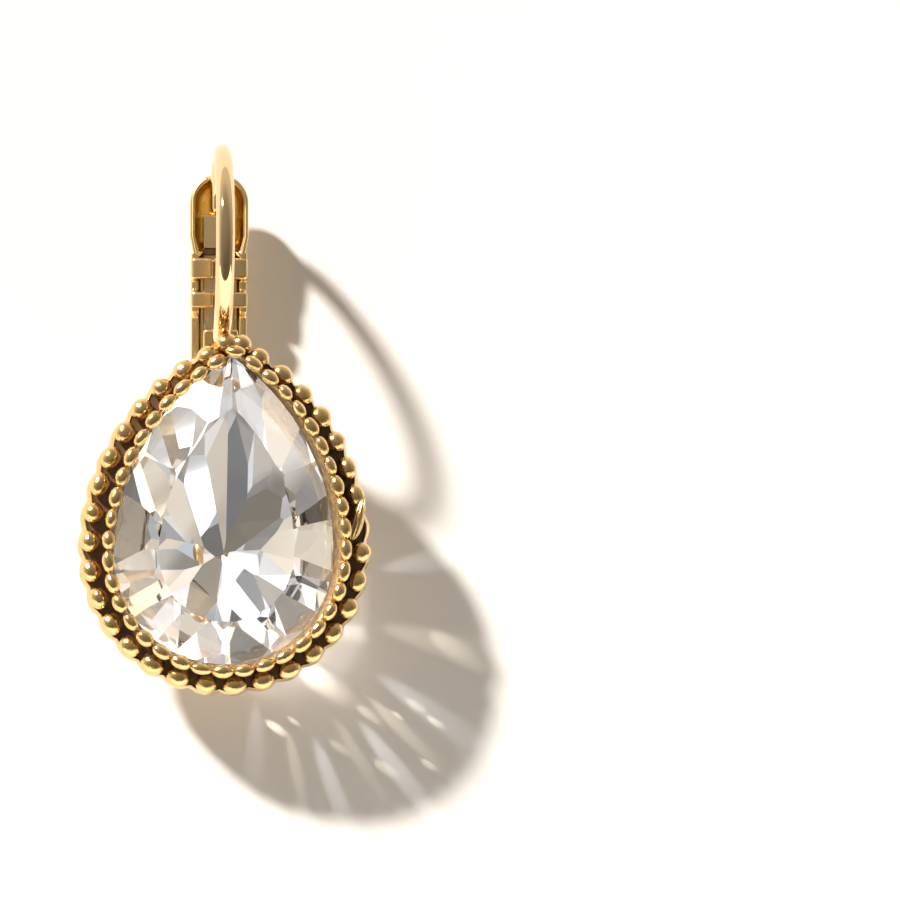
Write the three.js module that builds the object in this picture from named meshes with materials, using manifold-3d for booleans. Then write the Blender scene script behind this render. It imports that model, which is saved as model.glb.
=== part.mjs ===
// A lever-back earring: a pear-cut crystal in an open-backed cast setting with two rows of beads,
// an ear wire that arches through the ear, and a sprung lever that closes behind it.
// Millimetres. +Z is up, -Y is the front that faces the viewer, +X is the viewer's right.
// The origin is the underside of the ear wire's arch, where the earring hangs in the ear.

import * as THREE from "three";
import { ConvexGeometry } from "three/addons/geometries/ConvexGeometry.js";
import { mergeVertices } from "three/addons/utils/BufferGeometryUtils.js";
import Module from "manifold-3d";

const wasm = await Module();
wasm.setup();

// The stone, measured across its edge, and its heights in front of and behind that edge.
const stoneWidth = 13;
const stoneLength = 18.2;
const crownHeight = 1.7;
const girdleHeight = 0.3;
const pavilionDepth = 4.6;
const crownSlope = 34;
const crownHalfSlope = 41;
const starSlope = 21;
const pavilionHalfSteeper = 5;
const mainFacets = 12;
const girdleFacets = 48;

// The setting: how far each feature stands outside the stone's edge, and in front of the open back.
// The stone and its opening sit a little to the viewer's left of the bead rows.
const girdleForward = 3.9;
const stoneAside = -0.15;
const girdleClearance = 0.12;
const collarWall = 0.5;
const lipForward = 4.6;
const lipBevel = 0.25;
const grooveForward = 3.15;
const outerRowOut = 1.55;
const outerRowTipOut = 0.5;
const outerRowLift = 0.3;
const trayFloorOut = 0.42;
const trayRimOut = 0.7;
const trayRimForward = 2.65;
const trayRimThickness = 0.45;
const trayLower = 0.12;
const scallopDepth = 0.22;
const taperOut = 0.3;
const taperForward = 1.5;
const backRimOut = 0.1;
const openBackIn = 1.3;
const openBackTipIn = 2.6;
const seatForward = 2.3;
const seatStep = 0.1;

// The beads, as half sizes along the row, across it and forward, and the leaf that hides the join.
const outerBeads = 33;
const outerBeadAlong = 0.66;
const outerBeadAcross = 0.58;
const outerBeadDeep = 0.6;
const outerBeadForward = 3.6;
const tipPairSpread = 0.42;
const innerBeads = 40;
const innerBeadAlong = 0.6;
const innerBeadAcross = 0.43;
const innerBeadDeep = 0.42;
const innerBeadOut = 0.52;
const leafBead = 8;
const leafHalfLength = 1.3;
const leafHalfWidth = 0.46;
const leafLean = 14;

// Where the setting hangs on the wire, and how it leans and turns.
const settingBack = 1.1;
const stoneTipDrop = 11.85;
const settingLean = 2.2;
const settingTurn = 3;

// The ear wire, as the quarter ellipses of its centreline, seen from the side.
const wireDiameter = 1.1;
const archBackReach = 3.3;
const archBackDrop = 3.3;
const archFrontReach = 5.8;
const archFrontDrop = 5.45;
const sweepReach = 7.4;
const sweepDrop = 5.95;
const wireClearance = 0.08;
const wireNest = 0.15;

// The hinge block on the back of the setting, and the rivet through it.
const pinY = 3.2;
const pinDrop = 12.6;
const pinRadius = 0.4;
const pinClearance = 0.06;
const blockWidth = 2.1;
const knuckleRadius = 0.65;
const blockRoot = 0.9;
const bossBack = 2.1;
const bossLength = 1.5;
const bossWall = 0.3;
const rivetHeadRadius = 0.62;
const rivetHead = 0.22;
const rivetPlay = 0.05;

// The lever: a folded channel with two keeper bands and a spoon that takes the wire's tip.
const leverWidth = 3.4;
const leverSheet = 0.5;
const leverFront = 3;
const leverBack = 4.4;
const legFront = 3.4;
const legTop = 8.8;
const legStep = 0.3;
const channelFloor = 0.4;
const channelEnd = 11.4;
const footRadius = 0.85;
const upperBandTop = 5.5;
const upperBandHeight = 1.3;
const bandGap = 0.75;
const lowerBandHeight = 1.02;
const bandThickness = 0.45;
const seamOffset = -0.37;
const seamWidth = 0.08;
const seamDepth = 0.15;
const spoonWidth = 3.56;
const spoonTop = 0.37;
const spoonShoulder = 4.2;
const spoonBottom = 5.45;
const spoonBottomWidth = 3.1;
const spoonWall = 0.36;
const spoonBulge = 0.1;
const spoonFloor = 0.4;
const spoonRound = 0.5;
const cavityRound = 0.35;
const notchWidth = 1.3;
const notchDepth = 0.5;

// The spring leaf, held in the channel behind the bands, with a stop for the wire's tip.
const leafSpringWidth = 1.86;
const leafSpringSheet = 0.35;
const leafSpringGap = 0.1;
const leafSpringJog = 0.4;
const leafStopBottom = 4.9;
const tipGap = 0.16;
const knuckleGap = 0.2;

// Facets: segments round each curve.
const segmentsPerBead = 2;
const beadSides = 10;
const outerBeadRings = 5;
const innerBeadRings = 4;
const wireSides = 12;
const wireSteps = 44;
const pinSides = 24;
const mergeDistance = 1e-4;

// How far a cutting shape runs past the surface that it cuts.
const cutBeyond = 1;

const degrees = Math.PI / 180;
const stoneRadius = stoneWidth / 2;
const stoneTip = stoneLength - stoneRadius;
const wireRadius = wireDiameter / 2;
const girdleFront = girdleForward + girdleHeight / 2;
const girdleBack = girdleForward - girdleHeight / 2;

const gold = new THREE.MeshStandardMaterial({ color: 0xc79a45, roughness: 0.3, metalness: 1 });
const polishedGold = new THREE.MeshStandardMaterial({ color: 0xe0b872, roughness: 0.18, metalness: 1 });
const springMetal = new THREE.MeshStandardMaterial({ color: 0xc9bb9a, roughness: 0.35, metalness: 1 });
const crystal = new THREE.MeshStandardMaterial({
  color: 0xf2f2f4,
  roughness: 0.05,
  metalness: 0,
  transparent: true,
  opacity: 0.5,
});

// A geometry as a solid for cutting and joining: only its places count, with shared corners merged.
function solidOf(geometry) {
  const bare = geometry.clone();
  bare.deleteAttribute("normal");
  bare.deleteAttribute("uv");
  const merged = mergeVertices(bare, mergeDistance);
  return new wasm.Manifold(
    new wasm.Mesh({
      numProp: 3,
      vertProperties: merged.attributes.position.array,
      triVerts: new Uint32Array(merged.index.array),
    }),
  );
}

// A cut or joined solid as a geometry again.
function geometryOf(solid) {
  const mesh = solid.getMesh();
  const places = new Float32Array(mesh.numVert * 3);
  for (let i = 0; i < mesh.numVert; i++) {
    places.set(mesh.vertProperties.subarray(i * mesh.numProp, i * mesh.numProp + 3), i * 3);
  }
  const geometry = new THREE.BufferGeometry();
  geometry.setAttribute("position", new THREE.BufferAttribute(places, 3));
  geometry.setIndex(new THREE.BufferAttribute(mesh.triVerts, 1));
  geometry.computeVertexNormals();
  return geometry;
}

function joined(solids) {
  return solids.reduce((whole, piece) => whole.add(piece));
}

// A shape drawn as seen from the side, in Y and Z, carried along X and centred on the wire's plane.
function sideSlab(shape, width, curveSegments = 8) {
  const geometry = new THREE.ExtrudeGeometry(shape, { depth: width, bevelEnabled: false, curveSegments });
  geometry.translate(0, 0, -width / 2);
  const turn = new THREE.Matrix4().makeBasis(
    new THREE.Vector3(0, 1, 0),
    new THREE.Vector3(0, 0, 1),
    new THREE.Vector3(1, 0, 0),
  );
  return geometry.applyMatrix4(turn);
}

// A shape drawn as seen from the front, in X and Z, standing forward of y = 0.
function frontSlab(shape, settings) {
  const geometry = new THREE.ExtrudeGeometry(shape, settings);
  const turn = new THREE.Matrix4().makeBasis(
    new THREE.Vector3(1, 0, 0),
    new THREE.Vector3(0, 0, 1),
    new THREE.Vector3(0, -1, 0),
  );
  return geometry.applyMatrix4(turn);
}

// A box between two corners.
function boxBetween(low, high) {
  const size = high.map((value, i) => value - low[i]);
  const centre = high.map((value, i) => (value + low[i]) / 2);
  return solidOf(new THREE.BoxGeometry(...size).translate(...centre));
}

// A round bar along X, as a solid.
function barAlongX(radius, length, y, z) {
  return solidOf(
    new THREE.CylinderGeometry(radius, radius, length, pinSides).rotateZ(Math.PI / 2).translate(0, y, z),
  );
}

// A pear outline: a half circle below, and two arcs tangent to it that meet in the tip above.
// The share runs from 0 at the tip, down the viewer's right side and back up the left.
function pearPoint({ radius, tip, lift, aside = 0 }, share) {
  const sideRadius = (radius ** 2 + tip ** 2) / (2 * radius);
  const sideAngle = Math.asin(Math.min(1, tip / sideRadius));
  const side = sideRadius * sideAngle;
  const bottom = Math.PI * radius;
  const along = ((share % 1) + 1) % 1 * (2 * side + bottom);
  if (along < 1e-9) return { x: aside, z: tip + lift, outX: 0, outZ: 1 };
  if (along <= side) {
    const angle = sideAngle - along / sideRadius;
    const outX = Math.cos(angle);
    const outZ = Math.sin(angle);
    return { x: aside + radius - sideRadius * (1 - outX), z: sideRadius * outZ + lift, outX, outZ };
  }
  if (along <= side + bottom) {
    const angle = -(along - side) / radius;
    const outX = Math.cos(angle);
    const outZ = Math.sin(angle);
    return { x: aside + radius * outX, z: radius * outZ + lift, outX, outZ };
  }
  const angle = (along - side - bottom) / sideRadius;
  const outX = -Math.cos(angle);
  const outZ = Math.sin(angle);
  return { x: aside - radius + sideRadius * (1 + outX), z: sideRadius * outZ + lift, outX, outZ };
}

// The outline that stands a distance outside the stone's edge. Towards the outer bead row it grows
// less at the tip than at the sides, and rises a little.
function outlineAt(out) {
  const share = out / outerRowOut;
  return { radius: stoneRadius + out, tip: stoneTip + share * outerRowTipOut, lift: share * outerRowLift };
}

// The outline that stands a distance outside the stone where it really sits.
function openingAt(out) {
  return { ...outlineAt(out), aside: stoneAside };
}

// The outline of the tray behind the outer row, which hangs a little lower than its beads.
function trayAt(out) {
  const outline = outlineAt(outerRowOut + out);
  return { ...outline, lift: outline.lift - trayLower };
}

const stoneEdge = openingAt(0);
const openBack = {
  radius: stoneRadius - openBackIn,
  tip: stoneTip - openBackTipIn,
  lift: 0,
  aside: stoneAside,
};

// The setting's wall is one closed section carried round the pear: each row is a corner of it, with
// its outline and how far it stands in front of the open back. The tray is notched between beads.
const wallSections = [
  { corner: "seat at the stone's edge", outline: openingAt(girdleClearance), forward: girdleBack - seatStep },
  { corner: "inside of the lip", outline: openingAt(girdleClearance), forward: girdleFront },
  { corner: "front of the lip, inside", outline: openingAt(girdleClearance + lipBevel), forward: lipForward },
  { corner: "front of the lip, outside", outline: outlineAt(collarWall), forward: lipForward },
  { corner: "groove, inside", outline: outlineAt(collarWall), forward: grooveForward },
  {
    corner: "tray floor, outer edge",
    outline: trayAt(trayFloorOut),
    notched: trayAt(trayFloorOut - scallopDepth),
    forward: grooveForward,
  },
  {
    corner: "tray rim, front",
    outline: trayAt(trayRimOut),
    notched: trayAt(trayRimOut - scallopDepth),
    forward: trayRimForward,
  },
  {
    corner: "tray rim, back",
    outline: trayAt(trayRimOut),
    notched: trayAt(trayRimOut - scallopDepth),
    forward: trayRimForward - trayRimThickness,
  },
  { corner: "taper, wide end", outline: trayAt(-taperOut), forward: taperForward },
  { corner: "back rim, outside", outline: outlineAt(backRimOut), forward: 0 },
  { corner: "back rim, inside", outline: openBack, forward: 0 },
  { corner: "seat, inside", outline: openBack, forward: seatForward },
];

// The closed surface through the wall's sections, in the setting's own frame, with its back at y = 0.
function settingWall() {
  const places = [];
  const faces = [];
  const outlineSegments = outerBeads * segmentsPerBead;
  for (const { outline, notched, forward } of wallSections) {
    for (let j = 0; j < outlineSegments; j++) {
      const besideBead = j % segmentsPerBead === 0;
      const point = pearPoint(besideBead ? outline : notched ?? outline, j / outlineSegments);
      places.push(point.x, -forward, point.z);
    }
  }
  wallSections.forEach((_, ring) => {
    const next = (ring + 1) % wallSections.length;
    for (let j = 0; j < outlineSegments; j++) {
      const k = (j + 1) % outlineSegments;
      const a = ring * outlineSegments + j;
      const b = ring * outlineSegments + k;
      const c = next * outlineSegments + k;
      const d = next * outlineSegments + j;
      faces.push(a, b, c, a, c, d);
    }
  });
  const geometry = new THREE.BufferGeometry();
  geometry.setAttribute("position", new THREE.Float32BufferAttribute(places, 3));
  geometry.setIndex(faces);
  return solidOf(geometry);
}

// A round bead or other egg shape: half sizes along the row, forward and across the row.
function egg(sides, rings, along, deep, across) {
  return new THREE.SphereGeometry(1, sides, rings).rotateX(Math.PI / 2).scale(along, deep, across);
}

// Places a piece at a point of an outline, turned so that its X runs along the outline.
function setOnOutline(geometry, point, forward, extraTurn = 0) {
  const turn = Math.atan2(point.outX, point.outZ) + extraTurn;
  return geometry.rotateY(turn).translate(point.x, -forward, point.z);
}

// The outer row: large beads outside the groove, with two close together at the tip and a leaf over the join.
function outerRow() {
  const row = outlineAt(outerRowOut);
  const pieces = [];
  const bead = () => egg(beadSides, outerBeadRings, outerBeadAlong, outerBeadDeep, outerBeadAcross);
  for (let i = 0; i < outerBeads; i++) {
    const point = pearPoint(row, i / outerBeads);
    if (i === leafBead) {
      const leaf = egg(beadSides, outerBeadRings, leafHalfLength, outerBeadDeep, leafHalfWidth);
      pieces.push(solidOf(setOnOutline(leaf, point, outerBeadForward, leafLean * degrees)));
    } else if (i === 0) {
      pieces.push(solidOf(bead().translate(-tipPairSpread, -outerBeadForward, point.z)));
      pieces.push(solidOf(bead().translate(tipPairSpread, -outerBeadForward, point.z)));
    } else {
      pieces.push(solidOf(setOnOutline(bead(), point, outerBeadForward)));
    }
  }
  return joined(pieces);
}

// The inner row: small beads along the outside of the collar that holds the stone.
function innerRow() {
  const row = outlineAt(innerBeadOut);
  const pieces = [];
  for (let i = 0; i < innerBeads; i++) {
    const bead = egg(beadSides, innerBeadRings, innerBeadAlong, innerBeadDeep, innerBeadAcross);
    pieces.push(solidOf(setOnOutline(bead, pearPoint(row, i / innerBeads), lipForward)));
  }
  return joined(pieces);
}

// The hinge block: an arm from the setting's back to a knuckle round the rivet, with a boss that
// holds the wire's lower end.
function hingeBlock() {
  const top = -pinDrop + knuckleRadius;
  const bottom = -pinDrop - knuckleRadius;
  const bossTop = wireEndZ() + wireRadius + bossWall;
  const shape = new THREE.Shape();
  shape.moveTo(settingBack - blockRoot, bottom);
  shape.lineTo(pinY, bottom);
  shape.absarc(pinY, -pinDrop, knuckleRadius, -Math.PI / 2, Math.PI / 2, false);
  shape.lineTo(bossBack, top);
  shape.lineTo(bossBack, bossTop);
  shape.lineTo(bossBack - bossLength, bossTop);
  shape.lineTo(bossBack - bossLength, top);
  shape.lineTo(settingBack - blockRoot, top);
  const bore = barAlongX(pinRadius + pinClearance, blockWidth * 2, pinY, -pinDrop);
  return solidOf(sideSlab(shape, blockWidth)).subtract(bore);
}

function wireEndZ() {
  return wireRadius - archFrontDrop - sweepDrop;
}

// The ear wire's centreline, in the plane x = 0: from its tip behind the ear, over the arch, down
// the bulge in front, and back under the setting's tip into the boss.
class EarWireLine extends THREE.Curve {
  getPoint(share, target = new THREE.Vector3()) {
    const quarters = 3;
    const quarter = Math.min(Math.floor(share * quarters), quarters - 1);
    const angle = (share * quarters - quarter) * (Math.PI / 2);
    if (quarter === 0) {
      const z = wireRadius - archBackDrop + archBackDrop * Math.sin(angle);
      return target.set(0, archBackReach * Math.cos(angle), z);
    }
    const archBottom = wireRadius - archFrontDrop;
    if (quarter === 1) {
      return target.set(0, -archFrontReach * Math.sin(angle), archBottom + archFrontDrop * Math.cos(angle));
    }
    const sweepCentre = sweepReach - archFrontReach;
    return target.set(0, sweepCentre - sweepReach * Math.cos(angle), archBottom - sweepDrop * Math.sin(angle));
  }
}

function wireGeometry(radius) {
  const section = new THREE.Shape();
  for (let i = 0; i < wireSides; i++) {
    const angle = (2 * Math.PI * i) / wireSides;
    const x = radius * Math.cos(angle);
    const y = radius * Math.sin(angle);
    if (i === 0) section.moveTo(x, y);
    else section.lineTo(x, y);
  }
  return new THREE.ExtrudeGeometry(section, { steps: wireSteps, extrudePath: new EarWireLine() });
}

// The cast setting with its soldered hinge block, in the setting's own frame.
function beadedSetting(settingGroup) {
  settingGroup.updateMatrix();
  const intoSetting = settingGroup.matrix.clone().invert();
  const block = solidOf(geometryOf(hingeBlock()).applyMatrix4(intoSetting));
  const wireRoom = solidOf(wireGeometry(wireRadius + wireClearance).applyMatrix4(intoSetting));
  const nestRoom = solidOf(wireGeometry(wireRadius + wireNest).applyMatrix4(intoSetting));
  const cast = joined([settingWall(), outerRow(), innerRow()]).subtract(nestRoom);
  const mesh = new THREE.Mesh(geometryOf(cast.add(block).subtract(wireRoom)), gold);
  mesh.name = "beaded_setting";
  return mesh;
}

// A cutting plane that touches an outline at a share of its length: it slopes from there towards the
// stone's front or back, and everything outside it is ground away.
function facet(share, forward, slope, towardsFront) {
  const point = pearPoint(stoneEdge, share);
  const away = Math.sin(slope);
  const face = (towardsFront ? -1 : 1) * Math.cos(slope);
  const normal = new THREE.Vector3(point.outX * away, face, point.outZ * away);
  return new THREE.Plane().setFromNormalAndCoplanarPoint(normal, new THREE.Vector3(point.x, -forward, point.z));
}

// The slope that takes a facet from the stone's edge to the culet behind its round end's centre.
function culetSlope(share) {
  const point = pearPoint(stoneEdge, share);
  return Math.atan(pavilionDepth / ((point.x - stoneEdge.aside) * point.outX + point.z * point.outZ));
}

// The convex solid inside all the planes, from the corners where three of them meet.
function groundBy(planes) {
  const corners = [];
  const a = new THREE.Matrix3();
  const right = new THREE.Vector3();
  for (let i = 0; i < planes.length; i++) {
    for (let j = i + 1; j < planes.length; j++) {
      for (let k = j + 1; k < planes.length; k++) {
        const [p, q, r] = [planes[i], planes[j], planes[k]];
        a.set(
          p.normal.x, p.normal.y, p.normal.z,
          q.normal.x, q.normal.y, q.normal.z,
          r.normal.x, r.normal.y, r.normal.z,
        );
        if (Math.abs(a.determinant()) < 1e-4) continue;
        right.set(-p.constant, -q.constant, -r.constant).applyMatrix3(a.invert());
        if (planes.every((plane) => plane.distanceToPoint(right) < 1e-6)) corners.push(right.clone());
      }
    }
  }
  return new ConvexGeometry(corners);
}

// The stone: a table, mains, halves and stars in front of the girdle, and mains and halves behind it.
function stone() {
  const planes = [];
  const tableForward = girdleFront + crownHeight;
  planes.push(new THREE.Plane(new THREE.Vector3(0, -1, 0), -tableForward));
  for (let i = 0; i < girdleFacets; i++) {
    planes.push(facet((i + 0.5) / girdleFacets, girdleForward, Math.PI / 2, true));
  }
  for (let i = 0; i < mainFacets; i++) {
    const main = (i + 0.5) / mainFacets;
    planes.push(facet(main, girdleFront, crownSlope * degrees, true));
    planes.push(facet(main, girdleBack, culetSlope(main), false));
    for (const side of [-1, 1]) {
      const half = main + side / (4 * mainFacets);
      planes.push(facet(half, girdleFront, crownHalfSlope * degrees, true));
      planes.push(facet(half, girdleBack, culetSlope(half) + pavilionHalfSteeper * degrees, false));
    }
    const starForward = tableForward - (crownHeight / Math.tan(crownSlope * degrees)) * Math.tan(starSlope * degrees);
    planes.push(facet(i / mainFacets, starForward, starSlope * degrees, true));
  }
  const mesh = new THREE.Mesh(groundBy(planes), crystal);
  mesh.name = "pear_stone";
  return mesh;
}

function earWire() {
  const mesh = new THREE.Mesh(wireGeometry(wireRadius), polishedGold);
  mesh.name = "ear_wire";
  return mesh;
}

// The rivet: a plain pin with a low head at each end, outside the lever's cheeks.
function hingePin() {
  const half = leverWidth / 2 + rivetPlay;
  const profile = [
    new THREE.Vector2(0, -half - rivetHead),
    new THREE.Vector2(rivetHeadRadius * 0.8, -half - rivetHead),
    new THREE.Vector2(rivetHeadRadius, -half),
    new THREE.Vector2(pinRadius, -half),
    new THREE.Vector2(pinRadius, half),
    new THREE.Vector2(rivetHeadRadius, half),
    new THREE.Vector2(rivetHeadRadius * 0.8, half + rivetHead),
    new THREE.Vector2(0, half + rivetHead),
  ];
  const mesh = new THREE.Mesh(solidGeometry(new THREE.LatheGeometry(profile, pinSides)), polishedGold);
  mesh.name = "hinge_pin";
  mesh.rotation.z = Math.PI / 2;
  mesh.position.set(0, pinY, -pinDrop);
  return mesh;
}

// A geometry with its shared corners merged, so that its surface is closed.
function solidGeometry(geometry) {
  return geometryOf(solidOf(geometry));
}

// The spoon's outline from the front: a round top, straight sides and a drawn-in foot.
function spoonOutline(inset) {
  const half = spoonWidth / 2 - inset;
  const foot = spoonBottomWidth / 2 - inset;
  const roundCentre = -spoonTop - spoonWidth / 2;
  const shape = new THREE.Shape();
  shape.moveTo(half, roundCentre);
  shape.absarc(0, roundCentre, half, 0, Math.PI, false);
  shape.lineTo(-half, -spoonShoulder);
  shape.lineTo(-foot, -spoonBottom + inset);
  shape.lineTo(foot, -spoonBottom + inset);
  shape.lineTo(half, -spoonShoulder);
  return shape;
}

// A bowl shape with a rounded back, from a back plane forward past the lever's front.
function spoonBody(inset, round, back) {
  const settings = {
    depth: back - leverFront,
    bevelEnabled: true,
    bevelThickness: round,
    bevelSize: round,
    bevelSegments: 3,
    curveSegments: 10,
  };
  return solidOf(frontSlab(spoonOutline(inset + round), settings).translate(0, back - round, 0));
}

// The lever: cheeks folded forward from a back plate, narrower below the two keeper bands, and the
// spoon on top.
function lever() {
  const cheek = new THREE.Shape();
  cheek.moveTo(leverFront, -spoonBottom + spoonWall);
  cheek.lineTo(leverFront, -legTop);
  cheek.lineTo(legFront, -legTop - legStep);
  cheek.lineTo(legFront, -pinDrop + footRadius);
  cheek.absarc(pinY, -pinDrop, footRadius, Math.PI * 0.62, Math.PI * 2, false);
  cheek.lineTo(leverBack, -channelEnd);
  cheek.lineTo(leverBack, -spoonBottom + spoonWall);
  const cheekOffset = (leverWidth - leverSheet) / 2;
  const cheekSolid = solidOf(sideSlab(cheek, leverSheet));
  const half = leverWidth / 2;
  const floor = boxBetween([-half, leverBack - channelFloor, -channelEnd], [half, leverBack, -spoonBottom + spoonWall]);
  const lowerBandTop = upperBandTop + upperBandHeight + bandGap;
  const bands = [
    { top: upperBandTop, height: upperBandHeight },
    { top: lowerBandTop, height: lowerBandHeight },
  ].map(({ top, height }) =>
    boxBetween([-half, leverFront, -top - height], [half, leverFront + bandThickness, -top]).subtract(
      boxBetween(
        [seamOffset - seamWidth / 2, leverFront - cutBeyond, -top - height - cutBeyond],
        [seamOffset + seamWidth / 2, leverFront + seamDepth, -top + cutBeyond],
      ),
    ),
  );
  const inside = half - leverSheet;
  const spoonBack = leverBack + spoonBulge;
  const front = boxBetween([-half * 2, leverFront - half * 4, -spoonBottom * 2], [half * 2, leverFront, half * 2]);
  const spoon = spoonBody(0, spoonRound, spoonBack)
    .subtract(spoonBody(spoonWall, cavityRound, spoonBack - spoonFloor))
    .subtract(front)
    .subtract(
      boxBetween(
        [-inside, leverFront - cutBeyond, -upperBandTop - cutBeyond],
        [inside, leverBack - channelFloor, -leafStopBottom],
      ),
    )
    .subtract(
      boxBetween(
        [-notchWidth / 2, leverFront - cutBeyond, -spoonTop - spoonWall * 2],
        [notchWidth / 2, leverFront + notchDepth, cutBeyond],
      ),
    );
  const bore = barAlongX(pinRadius + pinClearance, leverWidth * 2, pinY, -pinDrop);
  const whole = joined([
    cheekSolid.translate(-cheekOffset, 0, 0),
    cheekSolid.translate(cheekOffset, 0, 0),
    floor,
    ...bands,
    spoon,
  ]).subtract(bore);
  const mesh = new THREE.Mesh(geometryOf(whole), gold);
  mesh.name = "lever";
  return mesh;
}

// The spring leaf: a flat strip behind the bands that steps forward into the spoon, where its end
// stops the wire's tip.
function springLeaf() {
  const front = leverFront + bandThickness + leafSpringGap;
  const back = front + leafSpringSheet;
  const top = wireRadius - archBackDrop - tipGap;
  const bottom = -pinDrop + knuckleRadius + knuckleGap;
  const stopFront = front - leafSpringJog;
  const shape = new THREE.Shape();
  shape.moveTo(stopFront, top);
  shape.lineTo(stopFront, -leafStopBottom);
  shape.lineTo(front, -leafStopBottom);
  shape.lineTo(front, bottom);
  shape.lineTo(back, bottom);
  shape.lineTo(back, top);
  const mesh = new THREE.Mesh(solidGeometry(sideSlab(shape, leafSpringWidth)), springMetal);
  mesh.name = "spring_leaf";
  return mesh;
}

const earring = new THREE.Group();

const setting = new THREE.Group();
setting.position.set(0, settingBack, -stoneTipDrop - stoneTip);
setting.rotation.set(0, settingLean * degrees, settingTurn * degrees, "ZYX");
setting.add(beadedSetting(setting), stone());

const finding = new THREE.Group();
finding.add(earWire(), hingePin());

const leverGroup = new THREE.Group();
leverGroup.add(lever(), springLeaf());

earring.add(setting, finding, leverGroup);

export default earring;
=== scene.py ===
from math import atan, atan2, cos, hypot, pi, radians, sin, tan

import bpy
import numpy as np
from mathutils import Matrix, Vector


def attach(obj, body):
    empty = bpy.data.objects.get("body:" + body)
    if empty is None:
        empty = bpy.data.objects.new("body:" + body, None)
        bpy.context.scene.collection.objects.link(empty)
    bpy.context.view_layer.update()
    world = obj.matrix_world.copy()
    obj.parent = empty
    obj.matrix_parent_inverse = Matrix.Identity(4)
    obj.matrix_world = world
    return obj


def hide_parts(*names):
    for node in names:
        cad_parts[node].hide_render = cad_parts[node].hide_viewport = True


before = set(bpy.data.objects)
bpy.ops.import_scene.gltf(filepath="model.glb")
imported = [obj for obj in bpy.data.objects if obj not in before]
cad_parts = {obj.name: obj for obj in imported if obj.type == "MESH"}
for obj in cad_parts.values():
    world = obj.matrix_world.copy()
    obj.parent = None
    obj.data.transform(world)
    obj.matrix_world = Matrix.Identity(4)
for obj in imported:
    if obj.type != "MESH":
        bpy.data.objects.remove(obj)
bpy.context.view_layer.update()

MM = 0.001


# THE VIEW
# A long lens looks at the earring from a little to its left and a little below. The earring hangs
# left of the middle of the picture, so the camera is aimed at a point to the right of it.
VIEW_AZIMUTH, VIEW_ELEVATION = radians(-2.41), radians(-2.5)
VIEW_DISTANCE = 250 * MM
VIEW_SCALE = 16.8 / MM
PICTURE_SIDE = 900
EARRING_POINT = Vector((0, -2 * MM, -15.4 * MM))
EARRING_PIXEL = (222.4, 417.6)

to_camera = Vector((
    sin(VIEW_AZIMUTH) * cos(VIEW_ELEVATION),
    -cos(VIEW_AZIMUTH) * cos(VIEW_ELEVATION),
    sin(VIEW_ELEVATION),
))
view_right = Vector((cos(VIEW_AZIMUTH), sin(VIEW_AZIMUTH), 0))
view_up = to_camera.cross(view_right)
aim = (
    EARRING_POINT
    + view_right * ((PICTURE_SIDE / 2 - EARRING_PIXEL[0]) / VIEW_SCALE)
    - view_up * ((PICTURE_SIDE / 2 - EARRING_PIXEL[1]) / VIEW_SCALE)
)
lens = bpy.data.cameras.new("long_lens")
lens.sensor_width = 36
lens.lens = lens.sensor_width * VIEW_SCALE * VIEW_DISTANCE / PICTURE_SIDE
lens.clip_start, lens.clip_end = 0.01, 10
camera = bpy.data.objects.new("camera", lens)
bpy.context.scene.collection.objects.link(camera)
camera.location = EARRING_POINT + to_camera * VIEW_DISTANCE
camera.rotation_mode = "QUATERNION"
camera.rotation_quaternion = (aim - camera.location).to_track_quat("-Z", "Y")
bpy.context.scene.camera = camera


# THE STUDIO
# A white board stands close behind the earring, and a pale floor lies well below it. One hard lamp
# at the upper left throws the shadow on the board, and the room gives soft light.
BOARD_Y, BOARD_LEAN, BOARD_TURN = 6.74 * MM, 0.097, 0.107
BOARD_HALF, BOARD_TOP = 0.6, 0.6
FLOOR_Z, FLOOR_HALF, FLOOR_FRONT, FLOOR_BACK = -120 * MM, 0.3, -0.09, 0.1
BOARD_WHITE = (0.88, 0.87, 0.86)
SLOT = (-1.55 * MM, 1.6 * MM, -13.4 * MM, -11.2 * MM)
LAMP_FROM = Vector((-1.093, -1, 1.23))
LAMP_POWER = 6.2
LAMP_SIZE = radians(4.5)
LAMP_COLOUR = (1.0, 0.95, 0.88)
ROOM_ABOVE, ROOM_LOW, ROOM_HIGH = (-0.35, -0.2, 1), 0.25, 0.85
ROOM_FRONT, ROOM_DARK = (0, -1, 0.05), 0.42
ROOM_COLOUR, SHADOW_COLOUR, GLASS_COLOUR = (1.0, 0.93, 0.84), (1.0, 0.87, 0.72), (0.97, 0.98, 1.0)
PANEL_SCALE, PANEL_EDGE, PANEL_GAP, PANEL_LIGHT = 4.5, (0.42, 0.53), 0.3, 1.25
PLAIN_PANEL = 0.85
MATT_SHARE = 0.84
GLASS_SHARE, GLASS_FRONT = 1.1, 0.82


def set_inputs(node, inputs):
    """Gives a shader node's inputs their values, or their links from other nodes' outputs."""
    for socket, value in inputs.items():
        if isinstance(value, bpy.types.NodeSocket):
            node.id_data.links.new(value, node.inputs[socket])
        else:
            node.inputs[socket].default_value = value
    return node


def add_node(tree, kind, inputs=None, **settings):
    """A new shader node with its settings and inputs."""
    node = tree.nodes.new("ShaderNode" + kind)
    for setting, value in settings.items():
        setattr(node, setting, value)
    return set_inputs(node, inputs or {})


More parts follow.
